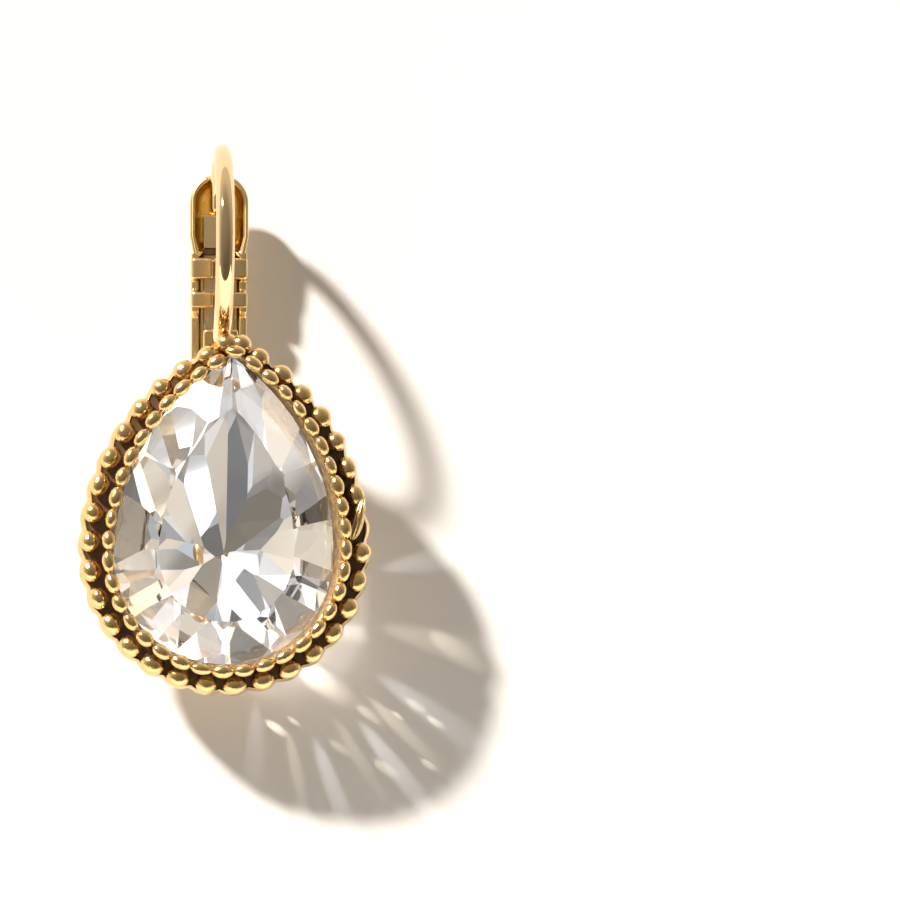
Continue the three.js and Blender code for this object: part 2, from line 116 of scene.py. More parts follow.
def flat_board(name, corners, faces=((0, 1, 2, 3),)):
    """A flat white board through its corners, seen from its front only."""
    mesh = bpy.data.meshes.new(name)
    mesh.from_pydata(corners, [], faces)
    board = bpy.data.objects.new(name, mesh)
    bpy.context.scene.collection.objects.link(board)
    paint = bpy.data.materials.new(name)
    paint.use_nodes = True
    tree = paint.node_tree
    surface = set_inputs(
        tree.nodes["Principled BSDF"],
        {"Base Color": (*BOARD_WHITE, 1), "Roughness": 0.9, "Specular IOR Level": 0.1},
    )
    side = add_node(tree, "NewGeometry").outputs["Backfacing"]
    clear = add_node(tree, "BsdfTransparent").outputs["BSDF"]
    mix = add_node(tree, "MixShader", {"Fac": side, 1: surface.outputs["BSDF"], 2: clear})
    set_inputs(tree.nodes["Material Output"], {"Surface": mix.outputs["Shader"]})
    mesh.materials.append(paint)


def on_board(x, z):
    """The point of the board at a place across and up."""
    return Vector((x, BOARD_Y + BOARD_TURN * x + BOARD_LEAN * z, z))


def rectangle(left, right, low, high):
    """The four corners of a rectangle, in order round it."""
    return [(left, low), (right, low), (right, high), (left, high)]


# A slot behind the lever lets it swing back through the board.
flat_board(
    "white_board",
    [on_board(x, z) for x, z in rectangle(-BOARD_HALF, BOARD_HALF, FLOOR_Z, BOARD_TOP) + rectangle(*SLOT)],
    [(k, (k + 1) % 4, 4 + (k + 1) % 4, 4 + k) for k in range(4)],
)
flat_board(
    "pale_floor",
    [(x, y, FLOOR_Z) for x, y in rectangle(-FLOOR_HALF, FLOOR_HALF, FLOOR_FRONT, FLOOR_BACK)],
)

lamp = bpy.data.lights.new("hard_lamp", "SUN")
lamp.energy = LAMP_POWER
lamp.angle = LAMP_SIZE
lamp.color = LAMP_COLOUR
lamp_object = bpy.data.objects.new("hard_lamp", lamp)
lamp_object.rotation_mode = "QUATERNION"
lamp_object.rotation_quaternion = LAMP_FROM.to_track_quat("Z", "Y")
bpy.context.scene.collection.objects.link(lamp_object)

room = bpy.data.worlds.new("soft_room")
bpy.context.scene.world = room
room.use_nodes = True
room_tree = room.node_tree
towards = add_node(room_tree, "TexCoord").outputs["Generated"]
room_ray = add_node(room_tree, "LightPath").outputs


def smooth_step(tree, value, start, end, low, high):
    """Grows smoothly from low to high as a value goes from a start to an end."""
    limits = {"From Min": start, "From Max": end, "To Min": low, "To Max": high}
    step = add_node(tree, "MapRange", {"Value": value, **limits}, interpolation_type="SMOOTHSTEP")
    return step.outputs["Result"]


def room_part(direction, start, end, low, high):
    """Light that grows smoothly from low to high as the look turns towards a direction."""
    look = {0: towards, 1: Vector(direction).normalized()}
    facing = add_node(room_tree, "VectorMath", look, operation="DOT_PRODUCT")
    return smooth_step(room_tree, facing.outputs["Value"], start, end, low, high)


def together(one, other, operation="MULTIPLY"):
    """Two room values multiplied, or the larger of them."""
    return add_node(room_tree, "Math", {0: one, 1: other}, operation=operation).outputs[0]


def share_for(kind, other_rays, these_rays):
    """One value for rays of a kind and another for all the rest."""
    shares = {"Value": room_ray[kind], "To Min": other_rays, "To Max": these_rays}
    return add_node(room_tree, "MapRange", shares).outputs["Result"]


# Through the glass the room shows bright panels, which make its facets differ.
panels = add_node(room_tree, "TexNoise", {"Vector": towards, "Scale": PANEL_SCALE, "Detail": 1.0})
panel_light = add_node(room_tree, "Mix", {
    "Factor": room_ray["Is Transmission Ray"],
    "A": PLAIN_PANEL,
    "B": smooth_step(room_tree, panels.outputs["Fac"], *PANEL_EDGE, PANEL_GAP, PANEL_LIGHT),
})

# The room is dark in front, for the metal to mirror. Matt surfaces get less of the room than polished
# ones, and the glass gets more, as the board and the paper round the lens are white.
front_share = together(
    room_part(ROOM_FRONT, 0.1, 0.8, 1.0, ROOM_DARK),
    share_for("Is Transmission Ray", 0.0, GLASS_FRONT),
    "MAXIMUM",
)
strength = together(room_part(ROOM_ABOVE, -0.9, 0.9, ROOM_LOW, ROOM_HIGH), front_share)
strength = together(strength, panel_light.outputs["Result"])
strength = together(strength, share_for("Is Diffuse Ray", 1.0, MATT_SHARE))
strength = together(strength, share_for("Is Transmission Ray", 1.0, GLASS_SHARE))
room_tone = (*ROOM_COLOUR, 1)
for kind, colour in (("Is Diffuse Ray", SHADOW_COLOUR), ("Is Transmission Ray", GLASS_COLOUR)):
    tones = {"Factor": room_ray[kind], "A": room_tone, "B": (*colour, 1)}
    room_tone = add_node(room_tree, "Mix", tones, data_type="RGBA").outputs["Result"]
set_inputs(room_tree.nodes["Background"], {"Strength": strength, "Color": room_tone})

# The stone throws streaks and glints of lamp light on to the board. A streak comes from a narrow lamp
# just behind the setting's open back, and has its turn, reach, power and width. A glint has its place
# across and up, its width and its power, and its lamp close before the board.
STREAK_FROM = Vector((2.6, 2.75, -25.5)) * MM
STREAKS = [
    (9, 11.0, 0.16, 9), (-17, 12.5, 0.14, 10), (-36, 13.5, 0.2, 8), (-45, 12.0, 0.3, 5), (-53, 14.0, 0.3, 6),
    (-60, 11.5, 0.16, 5), (-70, 13.0, 0.26, 6), (-79, 11.0, 0.2, 5), (-92, 9.5, 0.12, 9),
]
GLINTS = [
    (5.9, -30.9, 1.3, 0.8), (3.5, -34.0, 0.5, 0.7), (9.2, -33.2, 0.6, 0.3), (12.1, -32.7, 0.5, 0.3),
    (13.3, -33.7, 0.4, 0.4), (14.3, -29.1, 1.2, 0.2), (10.2, -36.5, 0.6, 0.25), (7.4, -35.2, 0.5, 0.2),
    (4.6, -33.6, 0.3, 0.4), (11.0, -33.3, 0.3, 0.4), (12.9, -36.3, 0.4, 0.3),
]
STREAK_POWER, STREAK_REACH = 0.03, 12
GLINT_POWER, GLINT_SPREAD = 0.005, 1.3
GLINT_LAMP = Vector((-4.5, -2.2, 3.4)) * MM
STREAK_WARM, STREAK_COOL = (1.0, 0.9, 0.72), (0.92, 0.96, 1.0)
SPOT_RADIUS = 0.05 * MM


def narrow_lamp(name, origin, target, power, width, colour):
    """A spot lamp with soft edges, whose width is an angle."""
    spot = bpy.data.lights.new(name, "SPOT")
    spot.energy, spot.color = power, colour
    spot.spot_size, spot.spot_blend, spot.shadow_soft_size = width, 1.0, SPOT_RADIUS
    spot_object = bpy.data.objects.new(name, spot)
    spot_object.location = origin
    spot_object.rotation_mode = "QUATERNION"
    spot_object.rotation_quaternion = (target - origin).to_track_quat("-Z", "Y")
    bpy.context.scene.collection.objects.link(spot_object)


for number, (turn, reach, power, width) in enumerate(STREAKS):
    far = reach * MM
    target = on_board(STREAK_FROM.x + far * cos(radians(turn)), STREAK_FROM.z + far * sin(radians(turn)))
    power *= STREAK_POWER * (reach / STREAK_REACH) ** 3
    colour = STREAK_WARM if number % 2 else STREAK_COOL
    narrow_lamp(f"streak_{number}", STREAK_FROM, target, power, radians(width), colour)
for number, (x, z, width, power) in enumerate(GLINTS):
    target = on_board(x * MM, z * MM)
    width = GLINT_SPREAD * atan(width * MM / GLINT_LAMP.length)
    narrow_lamp(f"glint_{number}", target + GLINT_LAMP, target, GLINT_POWER * power, width, STREAK_WARM)
bpy.context.scene.view_settings.view_transform = "Standard"


# THE SETTING'S WALL
# One casting in yellow metal: a collar round the stone, a groove outside it, a tray with a notched
# rim that carries the outer beads, and a tapering open back. It is blackened and then rubbed bright.
STONE_RADIUS, STONE_TIP = 6.5, 11.7
STONE_ASIDE = -0.15
SETTING_BACK = 1.1
SETTING_DROP = 11.85 + STONE_TIP
SETTING_LEAN, SETTING_TURN = radians(2.2), radians(3)
ROW_OUT, ROW_TIP_OUT, ROW_LIFT = 1.55, 0.5, 0.3
GROOVE_FORWARD, LIP_FORWARD = 3.15, 4.6
TRAY_LOWER = 0.12
BACK_NARROWER, BACK_TIP_LOWER = 1.3, 2.6
OUTER_BEADS, INNER_BEADS = 33, 40
LEAF_BEAD = 8


def pear(radius, tip, lift, aside, share):
    """Points of a pear outline and its outward direction, all in the plane of the stone's edge.

    A half circle of the radius below meets two arcs that are tangent to it and run up to the tip.
    The share runs from 0 at the tip, down the right side and back up the left, by length.
    """
    side_radius = (radius**2 + tip**2) / (2 * radius)
    side_angle = np.arcsin(np.minimum(1, tip / side_radius))
    side, bottom = side_radius * side_angle, pi * radius
    along = np.mod(share, 1) * (2 * side + bottom)
    right = along <= side
    under = ~right & (along <= side + bottom)
    angle = np.where(
        right,
        side_angle - along / side_radius,
        np.where(under, -(along - side) / radius, (along - side - bottom) / side_radius),
    )
    out_x = np.where(right | under, np.cos(angle), -np.cos(angle))
    out_z = np.sin(angle)
    x = np.where(under, radius * out_x, np.sign(out_x) * (radius - side_radius) + side_radius * out_x)
    z = np.where(under, radius * out_z, side_radius * out_z)
    return x + aside, z + lift, out_x, out_z


def outline_at(out):
    """Radius, tip height, lift and shift of the outline that stands a distance outside the stone."""
    part = out / ROW_OUT
    return np.array([STONE_RADIUS + out, STONE_TIP + part * ROW_TIP_OUT, part * ROW_LIFT, 0.0])


def hung(points):
    """Turns and hangs points from the setting's own frame, in millimetres, into the earring's."""
    turn, lean = SETTING_TURN, SETTING_LEAN
    about_z = np.array([[cos(turn), -sin(turn), 0], [sin(turn), cos(turn), 0], [0, 0, 1]])
    about_y = np.array([[cos(lean), 0, sin(lean)], [0, 1, 0], [-sin(lean), 0, cos(lean)]])
    return points @ (about_z @ about_y).T + np.array([0, SETTING_BACK, -SETTING_DROP])


def piece_from(name, points, faces, recess=None, smooth=True):
    """A new piece from corner points in millimetres, with how deep each point lies in a recess."""
    mesh = bpy.data.meshes.new(name)
    points = np.asarray(points, float).reshape(-1, 3)
    faces = faces if isinstance(faces, list) else faces.tolist()
    mesh.from_pydata((points * MM).tolist(), [], faces)
    mesh.polygons.foreach_set("use_smooth", np.full(len(mesh.polygons), smooth))
    if recess is not None:
        depth = mesh.attributes.new("recess", "FLOAT", "POINT")
        depth.data.foreach_set("value", np.asarray(recess, np.float32).ravel())
    mesh.update()
    piece = bpy.data.objects.new(name, mesh)
    bpy.context.scene.collection.objects.link(piece)
    return piece


def ring_faces(rows, columns, close_rows=False):
    """Quads of a grid whose columns close on themselves, and its rows too where asked."""
    i, j = np.meshgrid(np.arange(rows if close_rows else rows - 1), np.arange(columns), indexing="ij")
    i, j = i.ravel(), j.ravel()
    up, over = (i + 1) % rows, (j + 1) % columns
    return np.stack([i * columns + j, i * columns + over, up * columns + over, up * columns + j], axis=1)


def tube_faces(rows, columns):
    """Quads of a grid whose columns close on themselves, and one wide face at each end."""
    last = (rows - 1) * columns
    ends = [list(range(columns))[::-1], list(range(last, last + columns))]
    return ring_faces(rows, columns).tolist() + ends


def rounded_path(corners, radius, steps=5, longest=0.45):
    """A closed path with each corner rounded, along the parabola that the corner pulls in.

    It runs from a radius before the corner to a radius after it, or the longest share of the way.
    Lengths are taken in columns 0 and 4, the outline's radius and the depth, and all columns blend.
    """
    corners = np.asarray(corners, float)

    def on_the_way(other):
        length = np.linalg.norm((other - corners)[:, [0, 4]], axis=1)
        return corners + (other - corners) * np.minimum(radius / length, longest)[:, None]

    start, end = on_the_way(np.roll(corners, 1, 0)), on_the_way(np.roll(corners, -1, 0))
    t = np.linspace(0, 1, steps)[None, :, None]
    path = (1 - t) ** 2 * start[:, None] + 2 * t * (1 - t) * corners[:, None] + t**2 * end[:, None]
    return path.reshape(-1, corners.shape[1])


def section_corner(out, forward, recess, kind="row", notch=0.0):
    """One corner of the wall's section: outline, how far forward, notch between beads, recess."""
    outline = outline_at(out)
    if kind == "opening":
        outline[3] = STONE_ASIDE
    if kind == "tray":
        outline = outline_at(ROW_OUT + out)
        outline[2] -= TRAY_LOWER
    if kind == "back":
        outline = np.array([STONE_RADIUS - BACK_NARROWER, STONE_TIP - BACK_TIP_LOWER, 0, STONE_ASIDE])
    return [*outline, forward, notch, recess]


WALL_SECTION = [
    section_corner(0.12, 3.65, 0.6, "opening"),
    section_corner(0.12, 4.05, 0.58, "opening"),
    section_corner(0.34, LIP_FORWARD, 0.42, "opening"),
    section_corner(0.5, LIP_FORWARD, 0.3),
    section_corner(0.52, 4.1, 1.0),
    section_corner(0.5, GROOVE_FORWARD, 1.0),
    section_corner(0.3, GROOVE_FORWARD, 1.0, "tray", 0.15),
    section_corner(0.45, GROOVE_FORWARD + 0.1, 0.25, "tray", 0.22),
    section_corner(0.7, 2.75, 0.0, "tray", 0.24),
    section_corner(0.68, 2.2, 0.25, "tray", 0.2),
    section_corner(-0.3, 1.5, 0.3, "tray"),
    section_corner(0.1, 0, 0.1),
    section_corner(0, 0, 0.1, "back"),
    section_corner(0, 2.3, 0.1, "back"),
]
WALL_ROUNDING = 0.13
WALL_STEPS = OUTER_BEADS * 12

wall_path = rounded_path(WALL_SECTION, WALL_ROUNDING)
wall_share = np.arange(WALL_STEPS) / WALL_STEPS
radius, tip, lift, aside, forward, notch, wall_recess = (wall_path[:, k, None] for k in range(7))
pinch = notch * (1 - np.abs(np.cos(pi * OUTER_BEADS * wall_share))[None, :])
wall_x, wall_z, _, _ = pear(radius - pinch, tip - pinch, lift, aside, wall_share[None, :])
wall_points = np.stack([wall_x, np.broadcast_to(-forward, wall_x.shape), wall_z], axis=-1)
wall = piece_from(
    "setting_wall",
    hung(wall_points.reshape(-1, 3)),
    ring_faces(len(wall_path), WALL_STEPS, close_rows=True),
    np.broadcast_to(wall_recess, wall_x.shape),
)

TARNISH_FROM, TARNISH_TO = 0.42, 1.05
TARNISH_ROUGH, TARNISH_METAL = 0.6, 0.45
CLOUD_SHARE, GRAIN_SCALE, GRAIN_SHARE = 0.7, 9000, 0.25
RELIEF_STRENGTH = 0.35
GLOSS = {"Coat Weight": 0.5, "Coat Roughness": 0.06, "Coat IOR": 1.6}


def new_group(name, inputs, outputs):
    """An empty shader node group with sockets of the named kinds, its given values and its result."""
    group = bpy.data.node_groups.new(name, "ShaderNodeTree")
    for way, sockets in (("INPUT", inputs), ("OUTPUT", outputs)):
        for label, kind in sockets.items():
            group.interface.new_socket(label, in_out=way, socket_type="NodeSocket" + kind)
    return group, group.nodes.new("NodeGroupInput").outputs, group.nodes.new("NodeGroupOutput")


def rubbed_metal():
    """Plated metal, blackened in its recesses and rubbed bright where it stands up.

    The recess value and a cloudy noise decide how much tarnish is left. The colour, the roughness
    and the metal's share follow it, and a fine grain and dents give the height.
    """
    given_kinds = {"Vector": "Vector", "Bright": "Color", "Tarnish": "Color"}
    given_kinds |= dict.fromkeys(("Recess", "Patch Scale", "Smoothness"), "Float")
    result_kinds = {"Color": "Color"} | dict.fromkeys(("Roughness", "Metallic", "Height"), "Float")
    group, given, result = new_group("rubbed_metal", given_kinds, result_kinds)

    def noise(scale, detail):
        speckle = {"Vector": given["Vector"], "Scale": scale, "Detail": detail}
        return add_node(group, "TexNoise", speckle).outputs["Fac"]

    def sum_of(one, share, other):
        return add_node(group, "Math", {0: one, 1: share, 2: other}, operation="MULTIPLY_ADD").outputs[0]

    patches = noise(given["Patch Scale"], 4)
    grain = noise(GRAIN_SCALE, 2)
    tarnished = smooth_step(
        group, sum_of(patches, CLOUD_SHARE, given["Recess"]), TARNISH_FROM, TARNISH_TO, 0, 1
    )
    tones = {"Factor": tarnished, "A": given["Bright"], "B": given["Tarnish"]}
    colour = add_node(group, "Mix", tones, data_type="RGBA")
    rubbed_rough = add_node(group, "Math", {0: 1.0, 1: given["Smoothness"]}, operation="SUBTRACT")
    roughs = {"Factor": tarnished, "A": rubbed_rough.outputs[0], "B": TARNISH_ROUGH}
    roughness = add_node(group, "Mix", roughs)
    metallic = add_node(group, "MapRange", {"Value": tarnished, "To Min": 1.0, "To Max": TARNISH_METAL})
    set_inputs(result, {
        "Color": colour.outputs["Result"],
        "Roughness": roughness.outputs["Result"],
        "Metallic": metallic.outputs["Result"],
        "Height": sum_of(grain, GRAIN_SHARE, patches),
    })
    return group


RUBBED_METAL = rubbed_metal()


def metal_material(name, bright, tarnish, smoothness, patch_scale=1400.0, bump=0.012):
    """A metal that places the rubbed metal group with its own values, reading each point's recess."""
    material = bpy.data.materials.new(name)
    material.use_nodes = True
    tree = material.node_tree
    rubbed = add_node(tree, "Group", {
        "Vector": add_node(tree, "TexCoord").outputs["Object"],
        "Bright": (*bright, 1),
        "Tarnish": (*tarnish, 1),
        "Recess": add_node(tree, "Attribute", attribute_name="recess").outputs["Fac"],
        "Patch Scale": patch_scale,
        "Smoothness": smoothness,
    }, node_tree=RUBBED_METAL).outputs
    heights = {"Strength": RELIEF_STRENGTH, "Distance": bump * MM, "Height": rubbed["Height"]}
    relief = add_node(tree, "Bump", heights)
    set_inputs(tree.nodes["Principled BSDF"], {
        "Base Color": rubbed["Color"],
        "Roughness": rubbed["Roughness"],
        "Metallic": rubbed["Metallic"],
        "Normal": relief.outputs["Normal"],
        **GLOSS,
    })
    return material


ANTIQUE_GOLD = metal_material("antique_gold", (0.87, 0.59, 0.24), (0.17, 0.09, 0.035), 0.8, 2600.0, 0.12)
wall.data.materials.append(ANTIQUE_GOLD)
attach(wall, "earring")
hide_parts("beaded_setting")


# THE BEADS
# Round grains cast with the wall: a row of large ones on the tray, two of them close together at the
# tip, and a row of small ones that melt into the outside of the collar. No two are quite alike.
OUTER_BEAD = (0.71, 0.63, 0.6)
INNER_BEAD = (0.66, 0.42, 0.42)
OUTER_BEAD_FORWARD, INNER_ROW_OUT = 3.6, 0.52
TIP_PAIR = 0.42
BEAD_UNEVEN, BEAD_SIZES = (-0.13, 0.06), (-0.1, 0.04)
BEAD_SIDE_RECESS, BEAD_RUBBED = 0.32, 0.8


def bead_row(name, centres, outward, sizes, seed, rounds=24, rings=16):
    """Many egg shapes in one mesh: a unit sphere's grid of points for each bead, made a little
    uneven by squares of its own random direction, stretched by its sizes and set on the row."""
    chance = np.random.default_rng(seed)
    count = len(centres)
    polar = np.linspace(0, pi, rings + 2)[1:-1, None]
    turn = np.arange(rounds) * 2 * pi / rounds
    grid = [np.sin(polar) * np.cos(turn), np.sin(polar) * np.sin(turn), np.cos(polar) * np.ones(rounds)]
    unit = np.concatenate([np.stack(grid, -1).reshape(-1, 3), [[0, 0, 1], [0, 0, -1]]])
    lean = chance.normal(0, 1, (count, 3))
    lean /= np.linalg.norm(lean, axis=1, keepdims=True)
    uneven = 1 + chance.uniform(*BEAD_UNEVEN, (count, 1)) * (unit @ lean.T).T ** 2
    size = np.asarray(sizes)[None, :] * (1 + chance.uniform(*BEAD_SIZES, (count, 3)))
    local = unit[None] * uneven[..., None] * size[:, None, :]
    out = np.stack([outward[:, 0], np.zeros(count), outward[:, 1]], 1)
    along = np.stack([outward[:, 1], np.zeros(count), -outward[:, 0]], 1)
    ahead = np.array([0.0, -1.0, 0.0])
    points = (
        np.asarray(centres)[:, None, :]
        + local[..., 0, None] * along[:, None, :]
        + local[..., 1, None] * out[:, None, :]
        + local[..., 2, None] * ahead
    )
    quads = ring_faces(rings, rounds)
    here = np.arange(rounds)
    over = (here + 1) % rounds
    last = (rings - 1) * rounds
    front_cap = np.stack([np.full(rounds, rings * rounds), over, here], 1)
    back_cap = np.stack([np.full(rounds, rings * rounds + 1), last + here, last + over], 1)
    faces = []
    for first in range(0, count * len(unit), len(unit)):
        faces += (quads + first).tolist() + (front_cap + first).tolist() + (back_cap + first).tolist()
    recess = np.clip(BEAD_SIDE_RECESS - BEAD_RUBBED * unit[:, 2], 0, 1)
    return piece_from(name, hung(points.reshape(-1, 3)), faces, np.tile(recess, count))


def bead_places(out, forward, count):
    """A row's centres and their outward directions, with the one at the tip straight up."""
    x, z, out_x, out_z = pear(*outline_at(out), np.arange(count) / count)
    outward = np.stack([out_x, out_z], 1)
    outward[0] = (0, 1)
    return np.stack([x, np.full(count, -forward), z], 1), outward


outer_centres, outer_outward = bead_places(ROW_OUT, OUTER_BEAD_FORWARD, OUTER_BEADS)
tip_pair = outer_centres[[0, 0]] + np.array([[-TIP_PAIR, 0, 0], [TIP_PAIR, 0, 0]])
plain = [k for k in range(1, OUTER_BEADS) if k != LEAF_BEAD]
outer_beads = bead_row(
    "outer_beads",
    np.concatenate([tip_pair, outer_centres[plain]]),
    np.concatenate([outer_outward[[0, 0]], outer_outward[plain]]),
    OUTER_BEAD,
    seed=3,
)
inner_beads = bead_row(
    "inner_beads", *bead_places(INNER_ROW_OUT, LIP_FORWARD, INNER_BEADS), INNER_BEAD, seed=8
)
for beads in (outer_beads, inner_beads):
    beads.data.materials.append(ANTIQUE_GOLD)
    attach(beads, "earring")


# THE LEAF
# A small cast leaf with four grooves lies across the outer row on the right, over a join in it.
LEAF_LONG, LEAF_WIDE, LEAF_DEEP = 1.4, 0.42, 0.5
LEAF_LEAN = radians(22)
LEAF_SHIFT = np.array([-0.18, -0.25, 0.3])
LEAF_ROWS, LEAF_ROUND = 40, 48
LEAF_EGG, GROOVE_DEPTH, LEAF_POINT = 0.25, 0.13, 0.0004
LEAF_RECESS, GROOVE_RECESS, BEHIND_RECESS = 0.15, 3.0, 0.8

leaf_turn = atan2(*outer_outward[LEAF_BEAD]) + LEAF_LEAN
leaf_along = np.array([cos(leaf_turn), 0, -sin(leaf_turn)])
leaf_across = np.array([sin(leaf_turn), 0, cos(leaf_turn)])
leaf_l, leaf_round = np.meshgrid(
    np.linspace(-1, 1, LEAF_ROWS), np.arange(LEAF_ROUND) * 2 * pi / LEAF_ROUND, indexing="ij"
)
# The body is an egg round the leaf's length. Its width narrows to points, and grooves run along it.
leaf_taper = np.clip(1 - leaf_l**2, LEAF_POINT, 1)
leaf_width = LEAF_WIDE * np.sqrt(leaf_taper) * (1 + LEAF_EGG * leaf_l)
leaf_height = LEAF_DEEP * leaf_taper**0.4
grooved = 1 + GROOVE_DEPTH * np.cos(4 * pi * np.cos(leaf_round)) * np.clip(np.sin(leaf_round), 0, 1)
leaf_points = (
    outer_centres[LEAF_BEAD]
    + LEAF_SHIFT
    + (LEAF_LONG * leaf_l)[..., None] * leaf_along
    + (leaf_width * np.cos(leaf_round))[..., None] * leaf_across
    + (leaf_height * np.sin(leaf_round) * grooved)[..., None] * np.array([0, -1.0, 0])
)
# The lower a place lies in a groove, the darker it is, and the side behind is dark.
in_front = np.sin(leaf_round) > 0
leaf_recess = np.where(in_front, LEAF_RECESS - GROOVE_RECESS * (grooved - 1), BEHIND_RECESS)
leaf = piece_from(
    "leaf", hung(leaf_points.reshape(-1, 3)), tube_faces(LEAF_ROWS, LEAF_ROUND), np.clip(leaf_recess, 0, 1)
)
leaf.data.materials.append(ANTIQUE_GOLD)
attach(leaf, "earring")


# THE HINGE BLOCK
# A plain block soldered to the setting's back. An arm runs back to the knuckle that the rivet goes
# through, and a boss on top of it takes the lower end of the ear wire.
PIN_Y, PIN_Z = 3.2, -12.6
BLOCK_WIDTH, BLOCK_ROUNDING = 2.1, 0.22
KNUCKLE_RADIUS = 0.65
BLOCK_ROOT_Y = SETTING_BACK - 0.9
BOSS_FRONT, BOSS_BACK, BOSS_TOP = 0.6, 2.1, -10.0
SHARP_EDGE = radians(32)


def arc(centre_y, centre_z, radius, start, end, steps):
    """Points of an arc in the side view, between two angles in degrees."""
    turn = np.radians(np.linspace(start, end, steps))
    return [(centre_y + radius * cos(t), centre_z + radius * sin(t)) for t in turn]


def soften(piece, rounding, segments=3):
    """Rounds a piece's sharp edges and leaves its wide faces flat."""
    edges = piece.modifiers.new("rounded_edges", "BEVEL")
    edges.width = rounding * MM
    edges.segments = segments
    edges.limit_method = "ANGLE"
    edges.angle_limit = SHARP_EDGE
    edges.harden_normals = True
    return piece


def slab(name, outline, places, rounding, segments=3):
    """A flat shape of constant thickness: its outline stands at two depths, with its edges rounded.

    The places function turns an outline point and a side, 0 or 1, into a point in millimetres.
    """
    count = len(outline)
    points = [places(a, b, side) for side in (0, 1) for a, b in outline]
    faces = [list(range(count))[::-1], list(range(count, 2 * count))]
    faces += [[k, (k + 1) % count, count + (k + 1) % count, count + k] for k in range(count)]
    return soften(piece_from(name, points, faces), rounding, segments)


block_outline = [
    (BLOCK_ROOT_Y, PIN_Z - KNUCKLE_RADIUS),
    *arc(PIN_Y, PIN_Z, KNUCKLE_RADIUS, -90, 90, 24),
    (BOSS_BACK, PIN_Z + KNUCKLE_RADIUS),
    (BOSS_BACK, BOSS_TOP),
    (BOSS_FRONT, BOSS_TOP),
    (BOSS_FRONT, PIN_Z + KNUCKLE_RADIUS),
    (BLOCK_ROOT_Y, PIN_Z + KNUCKLE_RADIUS),
]
block = slab(
    "hinge_block", block_outline, lambda y, z, side: ((side - 0.5) * BLOCK_WIDTH, y, z), BLOCK_ROUNDING, 5
)
block.data.materials.append(ANTIQUE_GOLD)
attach(block, "earring")


# THE STONE
# A pear-cut crystal, clear and without foil. Its crown has a table, stars, mains and halves. Its
# pavilion has tiers of facets that meet in a point behind the round end's centre.
GIRDLE_FORWARD, GIRDLE_HALF = 3.9, 0.15
CROWN_HEIGHT, PAVILION_DEPTH = 1.7, 4.6
STONE_EDGE = (STONE_RADIUS, STONE_TIP, 0.0, STONE_ASIDE)
GIRDLE_FACETS = 48
MAINS = 12
PAVILION_MAINS = 18
UNEVEN = 2.5
# Each facet's inner mirror takes one of these colours: some brighter than white, one warm, one plain, one
# cool and one dark. They are painted highlights and reflections that vary from facet to facet. Their shares
# follow.
PAINTED_FACET_SPARKLE = [
    (1.45, 1.45, 1.47), (1.42, 1.27, 1.04), (1.0, 1.0, 1.01), (1.32, 1.38, 1.48), (0.5, 0.49, 0.48),
]
PAINTED_SPARKLE_SHARES = [0.36, 0.2, 0.18, 0.12, 0.14]
THROWN_BACK = [0.7, 0.85, 1.0]
LIGHT_THROUGH, LIGHT_THROUGH_SHARES = [0.3, 0.45, 1.5], [0.6, 0.25, 0.15]
EASED_FROM, EASED_BY, EASED_UNEVEN = [1.0, 5.0], [0.1, 0.8], (0.5, 1.3)
CRYSTAL_IOR, LEAVING_IOR, THROWN_BACK_ROUGH = 1.6, 1.22, 0.03
CROWN_SLOPE, CROWN_HALF_SLOPE, STAR_SLOPE = 34.0, 41.0, 21.0
# Each tier behind the girdle: the place of its facets between two mains, how much steeper than the
# line to the culet they are, and how far inside the girdle they begin.
PAVILION_TIERS = [
    (0.25, 6.0, 0.0), (0.75, 6.0, 0.0), (0.5, 2.0, 0.0), (0.0, 0.5, 1.6), (0.35, 0.0, 3.0), (0.7, 0.0, 3.4),
]


def facet_plane(share, forward, slope, towards_front):
    """The outward direction and distance of a plane that touches the stone's edge and slopes in."""
    x, z, out_x, out_z = (float(value) for value in pear(*STONE_EDGE, np.array(share)))
    ahead = -cos(slope) if towards_front else cos(slope)
    direction = np.array([out_x * sin(slope), ahead, out_z * sin(slope)])
    return direction, direction @ np.array([x, -forward, z])


def culet_slope(share):
    """The slope that leads from the stone's edge to the culet."""
    x, z, out_x, out_z = (float(value) for value in pear(*STONE_EDGE, np.array(share)))
    return atan(PAVILION_DEPTH / ((x - STONE_ASIDE) * out_x + z * out_z))


def cut_away(polygon, away, reach, level=1e-9):
    """The part of a polygon that stands inside a plane, with new corners where the plane crosses it."""
    heights = [point @ away - reach for point in polygon]
    kept = []
    for k, (point, here) in enumerate(zip(polygon, heights)):
        following, there = polygon[(k + 1) % len(polygon)], heights[(k + 1) % len(polygon)]
        if here <= level:
            kept.append(point)
        if (here < -level and there > level) or (here > level and there < -level):
            kept.append(point + (following - point) * (here / (here - there)))
    return kept


def trimmed_faces(planes, size=60.0, same_corner=0.004):
    """The faces of the solid inside all planes: each starts as a big square in its own plane, and
    every other plane cuts away what stands outside it. Close corners are then made one."""
    corners, faces = [], []
    for index, (direction, distance) in enumerate(planes):
        helper = np.array([0.0, 0, 1]) if abs(direction[2]) < 0.9 else np.array([1.0, 0, 0])
        across = np.cross(helper, direction)
        across /= np.linalg.norm(across)
        upward = np.cross(direction, across)
        square = ((-1, -1), (1, -1), (1, 1), (-1, 1))
        polygon = [direction * distance + size * (a * across + b * upward) for a, b in square]
        for other, (away, reach) in enumerate(planes):
            if other != index and polygon:
                polygon = cut_away(polygon, away, reach)
        face = []
        for point in polygon:
            near = [k for k, known in enumerate(corners) if np.abs(known - point).max() < same_corner]
            number = near[0] if near else len(corners)
            if not near:
                corners.append(point)
            if number not in face:
                face.append(number)
        if len(face) > 2:
            faces.append(face)
    return np.array(corners), faces


